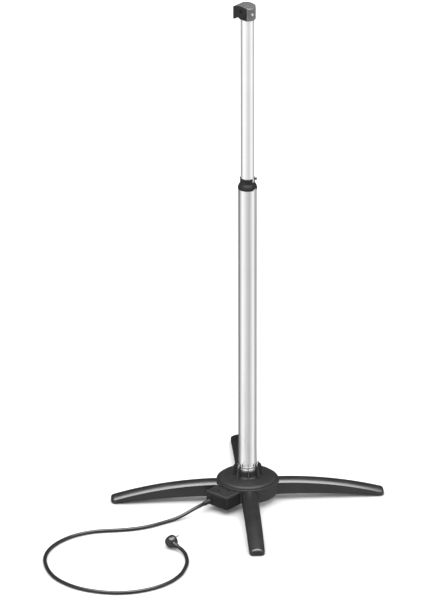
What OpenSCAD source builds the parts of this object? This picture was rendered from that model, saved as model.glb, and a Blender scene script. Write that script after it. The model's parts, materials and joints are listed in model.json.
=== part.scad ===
// Telescopic floor stand with four arched legs, a junction box with a mains lead,
// a two-stage round mast with a clamp collar, and a tilting bracket at the top.
// Millimetres. +Z is up, the origin is on the floor on the mast's axis.
// The legs lie along X and Y, the front leg along -Y.

/* [Legs] */
// Reach of each leg from the mast axis to its tip
leg_reach = 400; // [370:1:430]
// Width of a leg
leg_w = 45; // [42:0.5:46]
// Height of the top of a leg where it leaves the hub
leg_top = 62.2; // [61:0.1:62.6]
// Height of the top of a leg at its tip
leg_tip_top = 18.7; // [17:0.1:20]
// Height of the underside of a leg near the hub
leg_under = 17.3; // [15:0.1:18]
// Height of the underside of a leg at its tip
leg_tip_under = 0.6; // [0.5:0.1:1.5]
// Radius of a leg's rounded back
leg_back_r = 33.8; // [30:0.2:40]
// Wall thickness of a leg
leg_wall = 2.2; // [1.6:0.1:2.6]

/* [Hub] */
// Radius of the hub's rim
hub_r = 91; // [91:0.5:92]
// Height of the hub's lower edge
hub_z = 20; // [19:0.5:20.5]
// Height of the rim of the mast socket
socket_top = 95; // [90:1:100]
// Number of stiffening fins round the socket
fins = 8; // [4:1:8]

/* [Mast] */
// Outside diameter of the lower tube
lower_d = 54; // [54:0.1:54.2]
// Outside diameter of the upper tube
upper_d = 40; // [39.8:0.1:40]
// Wall thickness of the lower tube
lower_wall = 2; // [2:0.05:2.2]
// Wall thickness of the upper tube
upper_wall = 1.5; // [1.5:0.05:1.8]
// Height of the lower tube's top end
lower_top = 990; // [900:5:1050]
// Height of the upper tube's top end, as drawn
upper_top = 1512; // [1450:1:1560]
// Length of the upper tube
upper_len = 848; // [780:1:860]

/* [Junction box] */
// Width of the junction box
box_w = 80; // [70:1:80]
// Distance from the mast axis to the box's outer face
box_out = 137.5; // [134:0.5:142]
// Height of the box's underside
box_z0 = 17.5; // [16:0.5:19]
// Height of the top of the lid
box_z1 = 58.6; // [57:0.1:58.6]

/* [Lead] */
// Diameter of the mains cord
cord_d = 10.5; // [9:0.5:10.5]
// Diameter of the plug's face
plug_d = 36; // [35:0.5:37]

/* [Hidden] */

black = [0.07, 0.07, 0.075];
satin_black = [0.10, 0.10, 0.105];
silver = [0.78, 0.78, 0.80];
zinc = [0.62, 0.62, 0.64];
brass = [0.72, 0.58, 0.28];
nylon = [0.85, 0.84, 0.80];

eps = 0.05;
arc_n = 96;
lower_r = lower_d / 2;
lower_ir = lower_r - lower_wall;
upper_r = upper_d / 2;
upper_ir = upper_r - upper_wall;
upper_z = upper_top - upper_len;

// ---- arcs of a leg, seen from the side
leg_r0 = 90;
leg_drop = leg_top - leg_tip_top;
leg_arc = (pow(leg_reach - leg_r0, 2) + pow(leg_drop, 2)) / (2 * leg_drop);
und_r0 = 120;
und_drop = leg_under - leg_tip_under;
und_arc = (pow(leg_reach - und_r0, 2) + pow(und_drop, 2)) / (2 * und_drop);
cap_len = 4;
// inside the hub a leg is a low flat neck
neck_r = 91.4;
neck_top = 56;
deck_z = 56.3;
deck_top = 62;
plate_top = hub_z + 3;

// ---- places
bolt_rs = [58, 76];
post_r = 68;
cover_screw_r = 52;
lid_screw_at = [[96, 10], [116, -10]];
boot_v = -28;
boot_z = 27.5;
boot_len = 25;
wire_z = 45;
collar_z0 = lower_top - 5.5;
screw_z = lower_top - 20;
clamp_az = 8;
clamp_z = lower_top + 22;
pv_x = 8;
pv_z = upper_top + 23;
head_az = 135;
box_az = 225;
plug_at = [-244, -321.5, plug_d / 2 + 0.6];
plug_az = 42;
plug_roll = 11;
plug_out = 30;
outlet_x = -3;

// ---------------------------------------------------------------- helpers
function arc(c, r, a0, a1, n) = [for (i = [0:n]) let (a = a0 + (a1 - a0) * i / n) [c[0] + r * cos(a), c[1] + r * sin(a)]];

module tube(r, ri, z0, z1) {
  translate([0, 0, z0]) difference() {
    cylinder(r = r, h = z1 - z0, $fn = arc_n);
    translate([0, 0, -1]) cylinder(r = ri, h = z1 - z0 + 2, $fn = arc_n);
  }
}

module rod(r, z0, z1) { translate([0, 0, z0]) cylinder(r = r, h = z1 - z0, $fn = 48); }

// a rod along +X from x0 to x1
module rod_x(r, x0, x1) { translate([x0, 0, 0]) rotate([0, 90, 0]) cylinder(r = r, h = x1 - x0, $fn = 48); }

// a rod along +Y from y0 to y1
module rod_y(r, y0, y1) { translate([0, y0, 0]) rotate([-90, 0, 0]) cylinder(r = r, h = y1 - y0, $fn = 48); }

module block(x0, x1, y0, y1, z0, z1) { translate([x0, y0, z0]) cube([x1 - x0, y1 - y0, z1 - z0]); }

module at_box() { rotate([0, 0, box_az]) children(); }
module at_head() { rotate([0, 0, head_az]) children(); }
module at_pivot() { at_head() translate([pv_x, 0, pv_z]) children(); }
module at_plug() { translate(plug_at) rotate([0, 0, plug_az]) rotate([plug_roll, 0, 0]) children(); }

function box_pt(u, v, z) = [u * cos(box_az) - v * sin(box_az), u * sin(box_az) + v * cos(box_az), z];
// a point at distance d along the plug's cord outlet, and the outlet's direction
plug_dir = [sin(plug_az) * cos(plug_roll), -cos(plug_az) * cos(plug_roll), -sin(plug_roll)];
function plug_pt(d) = plug_at + outlet_x * [cos(plug_az), sin(plug_az), 0] + d * plug_dir;

// ---------------------------------------------------------------- legs
module leg_section(inset) {
  w = leg_w / 2 - inset;
  rr = leg_back_r - inset;
  a = asin(w / rr);
  polygon(concat([[leg_arc - 70, -w]], arc([leg_arc - leg_back_r, 0], rr, -a, a, 12), [[leg_arc - 70, w]]));
}

// height of the underside's arc at distance r from the mast axis
function under(r) = leg_under - und_arc + sqrt(pow(und_arc, 2) - pow(r - und_r0, 2));

// the arched bar above the underside's arc
module leg_bar(inset) {
  intersection() {
    translate([leg_r0, 0, leg_top - leg_arc]) rotate([90, 0, 0]) rotate([0, 0, 73])
      rotate_extrude(angle = 20, $fn = 720) leg_section(inset);
    rotate([90, 0, 0]) linear_extrude(height = 100, center = true)
      polygon(concat([for (i = [0:24]) let (r = 38 + (leg_reach + 4 - 38) * i / 24) [r, under(r) + inset]], [[leg_reach + 4, 90], [38, 90]]));
  }
}

// plan outline with rounded tip corners
module leg_plan(r0, r1, z0, z1) {
  rc = 14;
  translate([0, 0, z0]) linear_extrude(height = z1 - z0) intersection() {
    union() {
      translate([40, -leg_w / 2]) square([leg_reach - rc - 40, leg_w]);
      translate([leg_reach - rc - 1, -leg_w / 2 + rc]) square([rc + 1, leg_w - 2 * rc]);
      for (s = [-1, 1]) translate([leg_reach - rc, s * (leg_w / 2 - rc)]) circle(r = rc, $fn = 48);
    }
    translate([r0, -40]) square([r1 - r0, 80]);
  }
}

module leg() {
  difference() {
    union() {
      intersection() { leg_bar(0); leg_plan(neck_r, leg_reach - cap_len, -5, 80); }
      // flat neck on the base plate inside the hub
      block(46, neck_r + 3, -leg_w / 2 + 0.6, leg_w / 2 - 0.6, plate_top + 0.2, neck_top);
    }
    // hollow outside the hub
    intersection() {
      leg_bar(leg_wall);
      block(neck_r + 6, leg_reach + 5, -40, 40, -5, 80);
    }
    for (r = bolt_rs) translate([r, 0, 0]) rod(3.3, 0, 80);
  }
}

module leg_front() { color(black) rotate([0, 0, -90]) leg(); }
module leg_right() { color(black) leg(); }
module leg_back() { color(black) rotate([0, 0, 90]) leg(); }
module leg_left() { color(black) rotate([0, 0, 180]) leg(); }

module leg_end_caps() {
  color(satin_black) for (a = [0:90:270]) rotate([0, 0, a])
    intersection() { leg_bar(0); leg_plan(leg_reach - cap_len + eps, leg_reach, -5, 80); }
}

module foot_pads() {
  color(black) for (a = [0:90:270]) rotate([0, 0, a]) rotate([90, 0, 0]) linear_extrude(height = 30, center = true)
    polygon(concat([[leg_reach - 9, 0], [leg_reach - 34, 0]], [for (i = [0:4]) let (r = leg_reach - 34 + 25 * i / 4) [r, under(r) - eps]]));
}

module leg_bolts() {
  color(zinc) for (a = [0:90:270]) rotate([0, 0, a]) for (r = bolt_rs) translate([r, 0, 0]) {
    rod(2.95, hub_z - 1, deck_top - 2);
    translate([0, 0, hub_z - 4.4]) cylinder(r = 5.77, h = 4.35, $fn = 6);
  }
}

// ---------------------------------------------------------------- hub
module box_space(g, z1) { at_box() block(74 - g, box_out + 20, -box_w / 2 - g, box_w / 2 + g, 0, z1); }

module base_plate() {
  color(zinc) difference() {
    rod(81, hub_z, plate_top);
    translate([0, 0, -1]) rod(5.25, hub_z, plate_top + 2);
    for (a = [0:90:270]) rotate([0, 0, a]) for (r = bolt_rs) translate([r, 0, 0]) rod(3.1, hub_z - 1, plate_top + 1);
    for (a = [45, 135, 315]) rotate([0, 0, a]) translate([post_r, 0, 0]) rod(2.6, hub_z - 1, plate_top + 1);
    box_space(0.3, 80);
  }
}

module plate_screws() {
  color(zinc) for (a = [45, 135, 315]) rotate([0, 0, a]) translate([post_r, 0, 0]) {
    rod(2.1, hub_z - 1, hub_z + 19);
    rod(4.5, hub_z - 2.8, hub_z - eps);
  }
}

module hub_body() {
  color(black) difference() {
    union() {
      rotate_extrude($fn = 180) polygon(concat(
        [[5.5, plate_top + 0.1], [42, plate_top + 0.1], [42, deck_z], [81.5, deck_z], [81.5, hub_z], [hub_r - 4.6, hub_z], [hub_r - 0.4, 59.4]],
        arc([hub_r - 2.5, 61.3], 2.1, 0, 90, 5),
        [[hub_r - 5, 63.4], [hub_r - 5, deck_top], [lower_r + 0.1, deck_top], [lower_r + 0.1, 26], [5.5, 26]]));
      for (a = [45, 135, 315]) rotate([0, 0, a]) translate([post_r, 0, 0]) rod(5, plate_top + 0.1, deck_z + 1);
      at_box() for (v = [-14, 14]) block(66, 73.7, v - 5, v + 5, 30, deck_z + 1);
    }
    // pockets that take the legs
    for (a = [0:90:270]) rotate([0, 0, a]) block(45.5, 100, -leg_w / 2 - 0.25, leg_w / 2 + 0.25, 0, deck_z);
    // space for the junction box, and the lid's edge below the rim
    box_space(0.2, box_z1 + 0.3);
    for (a = [0:90:270]) rotate([0, 0, a]) for (r = bolt_rs) translate([r, 0, 0]) rod(3, deck_z - 1, deck_top - 1.5);
    for (a = [45, 135, 315]) rotate([0, 0, a]) translate([post_r, 0, 0]) rod(2.15, plate_top, hub_z + 20);
    for (a = [45:90:315]) rotate([0, 0, a]) translate([cover_screw_r, 0, 0]) rod(2.3, deck_z - 1, deck_top + 1);
    at_box() for (v = [-14, 14]) translate([0, v, wire_z - 8]) rod_x(2.05, 65, 74);
    // way for the wires from the box up to the mast
    at_box() translate([50, 12, 0]) rod(4, deck_z - 1, deck_top + 1);
  }
}

module hub_cover() {
  color(black) difference() {
    union() {
      rotate_extrude($fn = 180) polygon(concat(
        [[lower_r + 0.1, deck_top + 0.05], [33, deck_top + 0.05], [33, 70], [40, 70], [73, 66.3], [79.5, deck_top + 0.05], [85, deck_top + 0.05]],
        arc([75.2, 60.9], 10.1, 9, 78, 8),
        [[72, 71.55], [55, 72.8], [40, 73.6]], arc([40, 81.6], 8, 270, 188, 6),
        [[31.4, socket_top - 1.2]], arc([30.2, socket_top - 1.2], 1.2, 0, 90, 4),
        [[lower_r + 0.1, socket_top]]));
      for (i = [0:fins - 1]) rotate([0, 0, i * 360 / fins]) rotate([90, 0, 0]) translate([0, 0, -1.2])
        linear_extrude(height = 2.4) polygon([[29.7, socket_top - 2], [29.7, socket_top + 22.5], [31.3, socket_top + 22.2], [34, socket_top + 16.6],
          [38.2, socket_top + 14.6], [40.8, socket_top + 9], [43.2, 86], [45, 72], [31, 72]]);
      for (a = [45:90:315]) rotate([0, 0, a]) translate([cover_screw_r, 0, 0]) rod(4.6, deck_top + 0.05, 70.5);
    }
    for (a = [45:90:315]) rotate([0, 0, a]) translate([cover_screw_r, 0, 0]) rod(1.95, deck_top - 1, 69);
    at_box() translate([0, 0, 66]) rod_x(3.5, 24, 36);
  }
}

module cover_screws() {
  color(zinc) for (a = [45:90:315]) rotate([0, 0, a]) translate([cover_screw_r, 0, 0]) {
    rod(1.9, deck_z - 1, 68);
    rod(4, deck_z - 2.8, deck_z - eps);
  }
}

// ---------------------------------------------------------------- mast foot
module mast_plug() {
  color(nylon) difference() {
    union() { rod(lower_ir - 0.1, 26.1, 58); translate([0, 0, 58]) cylinder(r1 = lower_ir - 0.1, r2 = lower_ir - 2.1, h = 2, $fn = 96); }
    rod(5.05, 20, 70);
  }
}

module mast_bolt() {
  color(zinc) { rod(4.95, hub_z - 3, 56); translate([0, 0, hub_z - 8.5]) cylinder(r = 9.8, h = 6.4, $fn = 6); }
}

module mast_washer() { color(zinc) tube(12, 5.2, hub_z - 2.05, hub_z - eps); }

module socket_ring() {
  color(silver) rotate_extrude($fn = 128) polygon(concat(
    [[lower_r + 0.1, socket_top + eps], [lower_r + 1.7, socket_top + eps], [lower_r + 2, socket_top + 0.4]],
    arc([lower_r + 1.5, socket_top + 4.9], 0.5, 0, 90, 3),
    [[lower_r + 0.8, socket_top + 5.6], [lower_r + 0.8, socket_top + 11.6]],
    arc([lower_r + 0.7, socket_top + 12.5], 0.6, -60, 80, 4),
    [[lower_r + 0.1, socket_top + 13.2]]));
}

module lower_tube() {
  color(silver) difference() {
    tube(lower_r, lower_ir, 26.1, lower_top);
    at_box() translate([0, 0, 66]) rod_x(3.5, 20, 36);
    for (a = [60, 120]) rotate([0, 0, a]) translate([0, 0, screw_z]) rod_x(2, 20, 36);
  }
}

// ---------------------------------------------------------------- collar
module guide_bush() {
  color(nylon) tube(lower_ir - 0.1, upper_r + 0.1, lower_top - 75, lower_top - 30.1);
}

module sector(r, a0, a1, z0, z1) {
  translate([0, 0, z0]) linear_extrude(height = z1 - z0)
    polygon(concat([[0, 0]], [for (i = [0:4]) let (a = a0 + (a1 - a0) * i / 4) [r * cos(a), r * sin(a)]]));
}

module clamp_collar() {
  color(black) difference() {
    union() {
      rotate_extrude($fn = 128) polygon([
        [lower_r + 0.1, collar_z0], [lower_r + 0.9, collar_z0], [lower_r + 1.2, collar_z0 + 0.8], [lower_r + 1.2, collar_z0 + 3.5],
        [lower_r + 0.8, collar_z0 + 6], [lower_r - 0.1, collar_z0 + 9], [lower_r - 1.7, collar_z0 + 12.3], [lower_r - 3.6, collar_z0 + 15.3],
        [upper_r + 1.9, collar_z0 + 18], [upper_r + 1.6, collar_z0 + 20], [upper_r + 1.6, collar_z0 + 31], [upper_r + 2.2, collar_z0 + 31.8],
        [upper_r + 2.2, collar_z0 + 33.2], [upper_r + 1.7, collar_z0 + 34], [upper_r + 0.35, collar_z0 + 34], [upper_r + 0.35, lower_top - 30],
        [lower_ir - 0.1, lower_top - 30], [lower_ir - 0.1, lower_top + 0.05], [lower_r + 0.1, lower_top + 0.05]]);
      // boss that takes the clamp screw
      rotate([0, 0, clamp_az]) difference() {
        block(upper_r + 0.8, upper_r + 3.6, -5.5, 5.5, lower_top + 14, collar_z0 + 33.8);
        rod(upper_r + 0.6, lower_top, lower_top + 40);
      }
    }
    // the ring is split beside the boss
    sector(40, -50, -9, lower_top + 15.2, lower_top + 40);
    // arched notch in the skirt below the split
    rotate([0, 0, -40]) translate([0, 0, collar_z0 - 10.5]) rod_x(15, lower_r - 1, 40);
    for (a = [60, 120]) rotate([0, 0, a]) translate([0, 0, screw_z]) rod_x(1.95, 21.4, 40);
    rotate([0, 0, clamp_az]) translate([0, 0, clamp_z]) rod_x(3.6, 18, 40);
  }
}

module collar_screws() {
  color(zinc) for (a = [60, 120]) rotate([0, 0, a]) translate([0, 0, screw_z]) difference() {
    union() { rod_x(1.9, 21.5, 28); rod_x(3.6, lower_r - 0.5, lower_r + 1.9); }
    difference() { translate([0, 0, -10]) rod(lower_r + 0.05, 0, 20); rod_x(1.9, 10, 40); }
  }
}

module clamp_insert() {
  color(brass) rotate([0, 0, clamp_az]) translate([0, 0, clamp_z]) difference() {
    rod_x(3.55, upper_r + 0.9, upper_r + 3.6);
    rod_x(2.5, 10, 40);
  }
}

module clamp_screw() {
  color(black) rotate([0, 0, clamp_az]) translate([0, 0, clamp_z]) difference() {
    union() {
      rod_x(2.45, upper_r + 0.35, upper_r + 5);
      rod_x(3.9, upper_r + 3.9, upper_r + 7.6);
    }
    // cross slot for a coin or driver
    block(upper_r + 6.6, upper_r + 9, -5, 5, -0.5, 0.5);
  }
}

// ---------------------------------------------------------------- upper tube
module slide_bush() {
  color(nylon) difference() {
    rod(lower_ir - 0.1, upper_z - 4, upper_z + 40);
    rod(upper_r + 0.1, upper_z, upper_z + 50);
    rod(upper_ir, upper_z - 10, upper_z + 1);
  }
}

module foot_plug() {
  color(black) difference() {
    union() { rod(upper_ir - 0.1, upper_z - 8, upper_z + 36); rod(22.5, upper_z - 12, upper_z - 4.2); }
    rod(9, upper_z - 20, upper_z + 50);
  }
}

module upper_tube() {
  color(silver) difference() {
    tube(upper_r, upper_ir, upper_z + 0.1, upper_top);
    translate([0, 0, upper_top - 62]) rod_y(5, 10, 30);
    for (a = [45, 135]) rotate([0, 0, a]) translate([0, 0, upper_top - 26]) rod_x(2.1, 10, 30);
  }
}

module outlet_grommet() {
  color(black) translate([0, 0, upper_top - 62]) difference() {
    union() { rod_y(4.9, 16.5, 21.6); rod_y(7.6, 18, 21.8); translate([0, 0, 0]) rod_y(6.4, 16.5, 18); }
    difference() {
      rod_y(9, upper_ir - 6, 19.98);
      rod_y(4.9, 0, 40);
      rod_y(9, 0, upper_ir - 1.9);
    }
    translate([0, 0, -20]) difference() { rod(upper_r + 0.1, 0, 40); translate([0, 0, 20]) rod_y(4.9, 0, 40); rod(upper_ir - 0.15, 0, 40); }
  }
}

// ---------------------------------------------------------------- head
front_x = -14.2;
screw_az = 164;
module head_outline() {
  // plate on the tube's end, flat on two sides
  intersection() { rod(24, upper_top - 1, upper_top + 1); block(-40, 40, -21, 21, upper_top - 2, upper_top + 2); }
  // front wall with a crowned top
  intersection() {
    rod(24, upper_top, upper_top + 60);
    block(-40, front_x, -40, 40, upper_top - 1, upper_top + 60);
    head_crown();
  }
}

module head_crown() {
  translate([5, 0, upper_top - 29.1]) rotate([90, 0, 0]) cylinder(r = 70, h = 100, center = true, $fn = 180);
}

module head_body() {
  color(satin_black) at_head() difference() {
    union() {
      head_outline();
      rod(upper_ir - 0.1, upper_top - 42, upper_top + 0.5);
      // lug for the pivot
      translate([pv_x, 0, pv_z]) rod_y(11, -9, 9);
      block(pv_x - 7, pv_x + 7, -9, 9, upper_top, pv_z);
      // hollow corner that the bracket turns in
      difference() {
        intersection() { rod(24, upper_top, upper_top + 60); block(-24, 3, -21, 21, upper_top, upper_top + 60); head_crown(); }
        translate([pv_x, 0, pv_z]) rod_y(22, -40, 40);
      }
    }
    // seat of the tube
    tube(upper_r + 0.1, upper_ir - 0.1, upper_top - 60, upper_top + 0.05);
    // way for the wires
    rod(6, upper_top - 50, upper_top - 8);
    translate([pv_x, 0, pv_z]) rod_y(4.05, -40, 40);
    translate([0, 0, upper_top + 18.5]) rotate([0, 0, screw_az]) rod_x(2.55, 10, 40);
    translate([0, 0, upper_top - 26]) for (a = [0, 270]) rotate([0, 0, a]) rod_x(2.05, 12, 30);
  }
}

module head_rivets() {
  color(zinc) at_head() translate([0, 0, upper_top - 26]) for (a = [0, 270]) rotate([0, 0, a]) {
    rod_x(2, 12.1, 20.5);
    difference() { rod_x(3.6, 19, 21.2); translate([0, 0, -20]) rod(upper_r + 0.05, 0, 40); }
  }
}

module head_screw() {
  color(silver) at_head() translate([0, 0, upper_top + 18.5]) rotate([0, 0, screw_az]) difference() {
    union() {
      rod_x(2.5, 15.6, 25);
      rod_x(3.6, 24.05, 26.2);
    }
    block(25.4, 27, -6, 6, -0.5, 0.5);
  }
}

// ---------------------------------------------------------------- tilting bracket
flange_x = 29;
// round about the pivot towards the front wall, with an arched top and a flange at the back
module bracket_side() {
  intersection() {
    translate([-3, -52.1]) circle(r = 70, $fn = 180);
    union() {
      circle(r = 20.8, $fn = 128);
      translate([0, -20.5]) square([flange_x, 45]);
      translate([flange_x - 5.5, -28]) square([5.5, 50]);
    }
  }
}

module tilt_bracket() {
  color(black) at_pivot() difference() {
    rotate([90, 0, 0]) translate([0, 0, -21]) linear_extrude(height = 42.5) bracket_side();
    // space for the lug, open below so that the bracket can lift
    rod_y(12.2, -10.3, 10.3);
    translate([0, 10.3, 0]) rotate([90, 0, 0]) linear_extrude(height = 20.6)
      polygon(concat([[0, 0]], [for (a = [-53, -90, -128, -165, -202]) 45 * [cos(a), sin(a)]]));
    rod_y(4.05, -40, 40);
    rod_y(7.2, 17.4, 40);
    rod_y(7.8, -40, -16.4);
    // holes for the appliance
    for (a = [45:90:315]) translate([0, 13 * cos(a), -11 + 13 * sin(a)]) rod_x(2.75, flange_x - 10, flange_x + 5);
  }
}

module pivot_bolt() {
  color(zinc) at_pivot() difference() {
    union() { rod_y(4, -20.5, 18); rod_y(6.9, 17.45, 20.8); }
    translate([0, 19, 0]) rotate([-90, 0, 0]) cylinder(r = 2.9, h = 5, $fn = 6);
  }
}

module pivot_nut() {
  color(zinc) at_pivot() difference() {
    translate([0, -20.4, 0]) rotate([-90, 0, 0]) cylinder(r = 7.5, h = 3.95, $fn = 6);
    rod_y(4.03, -40, 0);
  }
}

module friction_washers() {
  color(nylon) at_pivot() for (s = [-1, 1]) difference() {
    rod_y(10.5, s > 0 ? 9.1 : -10.2, s > 0 ? 10.2 : -9.1);
    rod_y(4.06, -20, 20);
  }
}

// ---------------------------------------------------------------- junction box
box_wall = 2.5;
lid_z = 52;
module box_posts(r, z0, z1) { for (p = lid_screw_at) translate([p[0], p[1], 0]) rod(r, z0, z1); }

module junction_box() {
  color(black) at_box() difference() {
    union() {
      difference() {
        block(74, box_out, -box_w / 2, box_w / 2, box_z0, lid_z);
        block(74 + box_wall, box_out - box_wall, -box_w / 2 + box_wall, box_w / 2 - box_wall, box_z0 + box_wall, 80);
      }
      box_posts(4, box_z0 + 1, lid_z);
    }
    box_posts(1.6, box_z0 + 12, 80);
    translate([0, boot_v, boot_z]) rod_x(6.1, box_out - 10, box_out + 5);
    translate([0, 0, wire_z]) rod_x(4.6, 70, 80);
    for (v = [-14, 14]) translate([0, v, wire_z - 8]) rod_x(2.3, 70, 80);
  }
}

module junction_lid() {
  color(satin_black) at_box() difference() {
    block(74, box_out, -box_w / 2, box_w / 2, lid_z + 0.1, box_z1);
    block(74 + box_wall, box_out - box_wall, -box_w / 2 + box_wall, box_w / 2 - box_wall, lid_z - 1, box_z1 - 2.6);
    box_posts(2, 40, 80);
    box_posts(4.2, box_z1 - 1.4, 80);
  }
}

module lid_screws() {
  color(zinc) at_box() difference() {
    union() { box_posts(1.55, lid_z - 18, box_z1 - 1); box_posts(4, box_z1 - 1.35, box_z1 - 0.3); }
    for (p = lid_screw_at) translate([p[0], p[1], 0]) block(-4, 4, -0.5, 0.5, box_z1 - 0.9, box_z1 + 1);
  }
}

module terminal_block() {
  color(nylon) at_box() difference() {
    union() {
      block(88, 124, 20, 34, box_z0 + box_wall + eps, 36);
      for (i = [0:2]) translate([94 + 12 * i, 27, 0]) rod(4.6, 30, 40);
    }
    for (i = [0:2]) translate([94 + 12 * i, 27, 0]) rod(2.1, 27, 60);
    for (i = [0:2]) translate([94 + 12 * i, 0, 25.5]) rod_y(2.2, 10, 50);
  }
}

module terminal_screws() {
  color(brass) at_box() for (i = [0:2]) translate([94 + 12 * i, 27, 0]) difference() {
    rod(2, 28, 38.6);
    block(-3, 3, -0.3, 0.3, 37.8, 40);
  }
}

module box_screws() {
  color(zinc) at_box() for (v = [-14, 14]) translate([0, v, wire_z - 8]) {
    rod_x(2, 67, 77);
    rod_x(4, 74 + box_wall + eps, 74 + box_wall + 2.5);
  }
}

module wire_grommet() {
  color(black) at_box() translate([0, 0, wire_z]) difference() {
    union() { rod_x(4.5, 72.4, 78); rod_x(6.2, 72.2, 73.7); rod_x(6.2, 74 + box_wall + eps, 78); }
    rod_x(3, 60, 90);
  }
}

// ---------------------------------------------------------------- lead
module cord_boot() {
  color(black) at_box() translate([0, boot_v, boot_z]) rotate([0, 90, 0]) rotate_extrude($fn = 64) polygon([
    [0, box_out - 6], [7.2, box_out - 6], [7.2, box_out - box_wall - eps], [6, box_out - box_wall - eps], [6, box_out + eps],
    [8.2, box_out + eps], [8.2, box_out + 2.2], [7.6, box_out + 3], [6, box_out + boot_len], [0, box_out + boot_len]]);
}

// route of the cord's middle line: out of the box, down to the floor, one loose loop, and up to the plug
cord_z = cord_d / 2 + 0.1;
cord_a = box_pt(box_out + boot_len + eps, boot_v, boot_z);
cord_b = plug_pt(plug_out + eps);
route = concat(
  [cord_a, cord_a + 8 * [cos(box_az), sin(box_az), 0]],
  [[-153, -111.5, 26.3], [-168, -120.5, 22.5], [-186, -129, 16], [-206, -138.5, 9.8], [-228, -149.5, 6.2]],
  [for (p = [[-252, -162], [-286, -181], [-320, -195], [-355, -203], [-391, -207], [-426, -208], [-461, -212], [-496, -223],
    [-532, -243], [-566, -274], [-592, -312], [-608, -355], [-613, -400], [-607, -455], [-590, -506], [-562, -547], [-528, -579],
    [-484, -603], [-436, -617], [-386, -619], [-338, -608], [-294, -586], [-256, -553], [-228, -511], [-213, -470], [-207, -445], [-204.5, -421]])
    [p[0], p[1], cord_z]],
  [[-205, -400, 5.6], [-207, -382, 6.7], [-212, -366, 8.5]],
  [cord_b + 10 * plug_dir, cord_b]);

// smooth curve through the route's points
function cr(p, q, r, s, t) = 0.5 * (2 * q + (r - p) * t + (2 * p - 5 * q + 4 * r - s) * t * t + (3 * q - p - 3 * r + s) * t * t * t);
function at(i) = route[max(0, min(len(route) - 1, i))];
cord_line = concat(
  [route[0]],
  [for (i = [1:len(route) - 3], t = [0, 0.5]) cr(at(i - 1), at(i), at(i + 1), at(i + 2), t)],
  [route[len(route) - 2], route[len(route) - 1]]);

function unit(v) = v / norm(v);
function tangent(i) = i == 0 ? unit(cord_line[1] - cord_line[0])
  : i == len(cord_line) - 1 ? unit(cord_line[i] - cord_line[i - 1])
  : unit(unit(cord_line[i + 1] - cord_line[i]) + unit(cord_line[i] - cord_line[i - 1]));
cord_sides = 10;
function ring(i) = let (t = tangent(i), s = unit(cross([0, 0, 1], t)), u = cross(t, s))
  [for (k = [0:cord_sides - 1]) let (a = 360 * k / cord_sides) cord_line[i] + cord_d / 2 * (cos(a) * s + sin(a) * u)];

module mains_cord() {
  n = len(cord_line);
  m = cord_sides;
  color(black) polyhedron(
    points = [for (i = [0:n - 1]) each ring(i)],
    faces = concat(
      [[for (k = [0:m - 1]) k]],
      [for (i = [0:n - 2], k = [0:m - 1]) [i * m + k, (i + 1) * m + k, (i + 1) * m + (k + 1) % m]],
      [for (i = [0:n - 2], k = [0:m - 1]) [i * m + k, (i + 1) * m + (k + 1) % m, i * m + (k + 1) % m]],
      [[for (k = [m - 1:-1:0]) (n - 1) * m + k]]));
}

// ---------------------------------------------------------------- plug
plug_r = plug_d / 2;
module plug_boot() {
  color(black) at_plug() translate([outlet_x, 0, 0]) rotate([90, 0, 0]) rotate_extrude($fn = 64) polygon([
    [0, plug_r - 1], [8.6, plug_r - 1], [8.2, plug_r + 6], [6.1, plug_out], [0, plug_out]]);
}

module plug_body() {
  color(black) at_plug() difference() {
    union() {
      rotate([0, 90, 0]) rotate_extrude($fn = 96) polygon([
        [0, -15], [8, -15], [11.6, -14], [14.2, -11.6], [15.8, -8.4], [17, -4.5], [17.9, -0.5], [plug_r + 0.4, 3], [plug_r + 0.4, 6], [0, 6]]);
      translate([outlet_x, 0, 0]) rod_y(8.9, -plug_r + 1.05, 0);
    }
    block(-30, 30, -plug_r - 20, -plug_r + 1.04, -30, 30);
    for (s = [-1, 1]) block(1, 10, s * (plug_r - 1) - 0.8, s * (plug_r - 1) + 0.8 + 2, -3.2, 3.2);
  }
}

module plug_face() {
  color(satin_black) at_plug() difference() {
    union() {
      rotate([0, 90, 0]) rotate_extrude($fn = 96) polygon([[0, 6.05], [plug_r, 6.05], [plug_r, 9.4], [plug_r - 1, 10.4], [0, 10.4]]);
    }
    for (s = [-1, 1]) translate([0, 0, s * 9.5]) rod_x(2.45, 0, 20);
    for (s = [-1, 1]) block(5, 12, s > 0 ? plug_r - 1.8 : -plug_r - 2, s > 0 ? plug_r + 2 : -plug_r + 1.8, -3.2, 3.2);
  }
}

module plug_pins() {
  color(silver) at_plug() for (s = [-1, 1]) translate([0, 0, s * 9.5]) {
    rod_x(2.4, 6.1, 28);
    translate([28, 0, 0]) rotate([0, 90, 0]) cylinder(r1 = 2.4, r2 = 1.2, h = 1.6, $fn = 48);
  }
}

module earth_clips() {
  color(silver) at_plug() for (s = [-1, 1])
    block(6.1, 10.2, s > 0 ? plug_r - 1.7 : -plug_r + 0.7, s > 0 ? plug_r - 0.7 : -plug_r + 1.7, -3, 3);
}

// ---------------------------------------------------------------- the assembly
base_plate();
plate_screws();
hub_body();
hub_cover();
cover_screws();
leg_front();
leg_right();
leg_back();
leg_left();
leg_end_caps();
foot_pads();
leg_bolts();
mast_plug();
mast_bolt();
mast_washer();
socket_ring();
lower_tube();
guide_bush();
clamp_collar();
collar_screws();
clamp_insert();
clamp_screw();
slide_bush();
foot_plug();
upper_tube();
outlet_grommet();
head_body();
head_rivets();
head_screw();
tilt_bracket();
pivot_bolt();
pivot_nut();
friction_washers();
junction_box();
junction_lid();
lid_screws();
terminal_block();
terminal_screws();
box_screws();
wire_grommet();
cord_boot();
mains_cord();
plug_boot();
plug_body();
plug_face();
plug_pins();
earth_clips();
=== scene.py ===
"""Looks of a telescopic floor stand: four arched legs on a round hub, a junction box with a
mains lead, a two-stage silver mast with a clamp collar, and a tilting bracket at the top."""

import json
import math

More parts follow.
